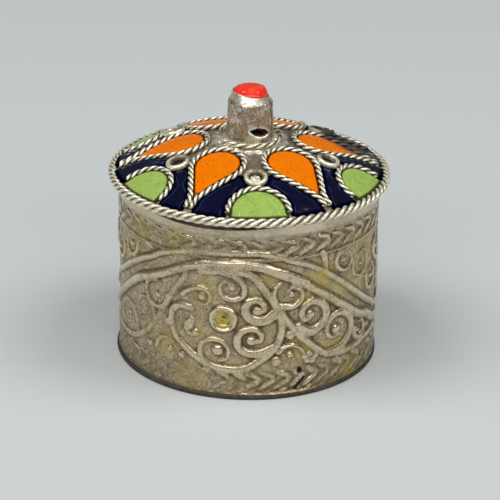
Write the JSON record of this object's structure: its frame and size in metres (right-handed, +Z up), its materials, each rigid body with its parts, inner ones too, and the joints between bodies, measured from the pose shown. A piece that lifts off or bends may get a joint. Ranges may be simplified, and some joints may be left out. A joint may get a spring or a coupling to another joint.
{
  "type": "lidded box",
  "caption": "Round silver box with a lift-off domed lid: twisted-wire cells of orange, green and navy enamel, a rope edge and a tubular finial that holds a coral.",
  "frame": {"origin": "centre of the underside of the base plate, on the surface the box stands on", "axes": "+Z up through the finial; the front of the picture faces -Y, so +X is to the right and +Y goes away"},
  "size_m": [0.0406, 0.0406, 0.0406],
  "materials": {
    "silver_body": "warm grey silver, chased, with olive and brown tarnish in the recesses and worn bright ridges",
    "silver_lid": "dull silver plate with tarnish",
    "silver_finial": "pitted and hammered silver with warm tarnish and a bright burnished lip",
    "silver_wire": "bright worn silver wire, dark between the strands",
    "enamel_orange": "opaque orange enamel, satin gloss with small red specks",
    "enamel_green": "opaque yellow-green enamel with dark specks, satin gloss",
    "enamel_navy": "very dark blue enamel, high gloss",
    "coral": "polished red-orange coral",
    "packing": "dark resin packing"
  },
  "bodies": {
    "body": {"body_wall": "silver_body", "base_plate": "silver_body"},
    "lid": {"lid_plate": "silver_lid", "lid_collar": "silver_lid", "lid_rim_rope": "silver_wire", "finial_tube": "silver_finial", "finial_rope": "silver_wire", "stone_bed": "packing", "coral_cabochon": "coral", "petal_wire_1": "silver_wire", "petal_enamel_1": "enamel_orange", "arch_wire_1": "silver_wire", "arch_enamel_1": "enamel_green", "lid_ring_1": "silver_wire", "petal_wire_2": "silver_wire", "petal_enamel_2": "enamel_orange", "arch_wire_2": "silver_wire", "arch_enamel_2": "enamel_green", "lid_ring_2": "silver_wire", "petal_wire_3": "silver_wire", "petal_enamel_3": "enamel_orange", "arch_wire_3": "silver_wire", "arch_enamel_3": "enamel_green", "lid_ring_3": "silver_wire", "petal_wire_4": "silver_wire", "petal_enamel_4": "enamel_orange", "arch_wire_4": "silver_wire", "arch_enamel_4": "enamel_green", "lid_ring_4": "silver_wire", "petal_wire_5": "silver_wire", "petal_enamel_5": "enamel_orange", "arch_wire_5": "silver_wire", "arch_enamel_5": "enamel_green", "lid_ring_5": "silver_wire", "petal_wire_6": "silver_wire", "petal_enamel_6": "enamel_orange", "arch_wire_6": "silver_wire", "arch_enamel_6": "enamel_green", "lid_ring_6": "silver_wire", "field_enamel_1": "enamel_navy", "field_enamel_2": "enamel_navy", "field_enamel_3": "enamel_navy", "field_enamel_4": "enamel_navy", "field_enamel_5": "enamel_navy", "field_enamel_6": "enamel_navy", "field_enamel_7": "enamel_navy", "field_enamel_8": "enamel_navy", "field_enamel_9": "enamel_navy", "field_enamel_10": "enamel_navy", "field_enamel_11": "enamel_navy", "field_enamel_12": "enamel_navy"}
  },
  "joints": [
    {"name": "lid_lift", "type": "slide", "parent": "body", "child": "lid", "axis": [0, 0, 1], "range_m": [0, 0.025]}
  ]
}
